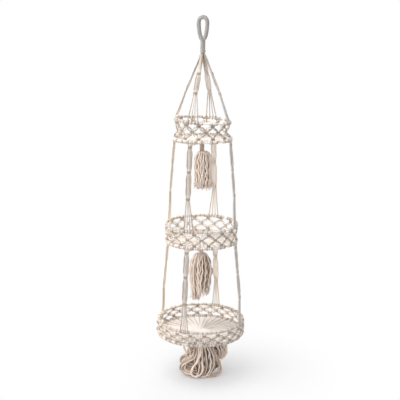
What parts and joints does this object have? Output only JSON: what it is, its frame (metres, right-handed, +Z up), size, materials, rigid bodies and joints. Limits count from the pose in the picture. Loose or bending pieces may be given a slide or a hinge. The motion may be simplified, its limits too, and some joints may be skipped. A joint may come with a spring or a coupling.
{
  "type": "hanging rope shelf",
  "caption": "Hanging macrame rope shelf: round knotted cord baskets one under another on four cord legs, with tassels and a wrapped loop to hang it by.",
  "frame": {"origin": "top of the hanging loop's eye, where the hook bears, on the shelf's vertical axis", "axes": "+Z up along the shelf's axis, the four legs on +X, +Y, -X and -Y, the loop's eye open along Y"},
  "size_m": [0.307, 0.307, 1.2275],
  "materials": {
    "wrapped_cotton": "cotton cord wound tight, matte",
    "cotton_cord": "twisted natural cotton cord, matte",
    "corded_hoop": "hoop covered in hitched cotton cord, matte",
    "floor_cords": "straight cotton cords, matte",
    "tassel_cotton": "loose twisted cotton strands, frayed at the ends"
  },
  "bodies": {
    "loop": {"hanging_loop": "wrapped_cotton"},
    "neck": {"neck_core": "cotton_cord", "neck_wrap": "wrapped_cotton"},
    "upper_legs": {"upper_cords_front": "cotton_cord", "upper_cords_right": "cotton_cord", "upper_cords_back": "cotton_cord", "upper_cords_left": "cotton_cord"},
    "top_basket": {"top_basket_upper_hoop": "corded_hoop", "top_basket_lower_hoop": "corded_hoop", "top_basket_net": "cotton_cord", "top_basket_floor": "floor_cords", "middle_cords_front": "cotton_cord", "middle_cords_right": "cotton_cord", "middle_cords_back": "cotton_cord", "middle_cords_left": "cotton_cord"},
    "middle_basket": {"middle_basket_upper_hoop": "corded_hoop", "middle_basket_lower_hoop": "corded_hoop", "middle_basket_net": "cotton_cord", "middle_basket_floor": "floor_cords", "lower_cords_front": "cotton_cord", "lower_cords_right": "cotton_cord", "lower_cords_back": "cotton_cord", "lower_cords_left": "cotton_cord"},
    "bottom_basket": {"bottom_basket_upper_hoop": "corded_hoop", "bottom_basket_lower_hoop": "corded_hoop", "bottom_basket_net": "cotton_cord", "bottom_basket_floor": "floor_cords"},
    "top_tassel": {"top_tassel_stem": "wrapped_cotton", "top_tassel_skirt": "tassel_cotton"},
    "middle_tassel": {"middle_tassel_stem": "wrapped_cotton", "middle_tassel_skirt": "tassel_cotton"},
    "bottom_tassel": {"bottom_tassel_stem": "wrapped_cotton", "bottom_tassel_skirt": "tassel_cotton"}
  },
  "joints": [
    {"name": "neck_swing", "type": "hinge", "parent": "loop", "child": "neck", "pos_m": [0, 0, -0.0727], "axis": [1, 0, 0], "range_deg": [-12, 12]},
    {"name": "shelf_turn", "type": "hinge", "parent": "neck", "child": "upper_legs", "pos_m": [0, 0, -0.1054], "axis": [0, 0, 1], "range_deg": [-90, 90]},
    {"name": "top_basket_lift", "type": "slide", "parent": "upper_legs", "child": "top_basket", "axis": [0, 0, 1], "range_m": [0, 0.1], "deforming": ["upper_cords_front", "upper_cords_right", "upper_cords_back", "upper_cords_left"]},
    {"name": "middle_basket_lift", "type": "slide", "parent": "top_basket", "child": "middle_basket", "axis": [0, 0, 1], "range_m": [0, 0.16], "deforming": ["middle_cords_front", "middle_cords_right", "middle_cords_back", "middle_cords_left"]},
    {"name": "bottom_basket_lift", "type": "slide", "parent": "middle_basket", "child": "bottom_basket", "axis": [0, 0, 1], "range_m": [0, 0.1], "deforming": ["lower_cords_front", "lower_cords_right", "lower_cords_back", "lower_cords_left"]},
    {"name": "top_tassel_swing", "type": "hinge", "parent": "top_basket", "child": "top_tassel", "pos_m": [0, 0, -0.3964], "axis": [1, 0, 0], "range_deg": [-15, 15]},
    {"name": "middle_tassel_swing", "type": "hinge", "parent": "middle_basket", "child": "middle_tassel", "pos_m": [0, 0, -0.743], "axis": [1, 0, 0], "range_deg": [-15, 15]},
    {"name": "bottom_tassel_swing", "type": "hinge", "parent": "bottom_basket", "child": "bottom_tassel", "pos_m": [0, 0, -1.069], "axis": [1, 0, 0], "range_deg": [-12, 12]}
  ]
}
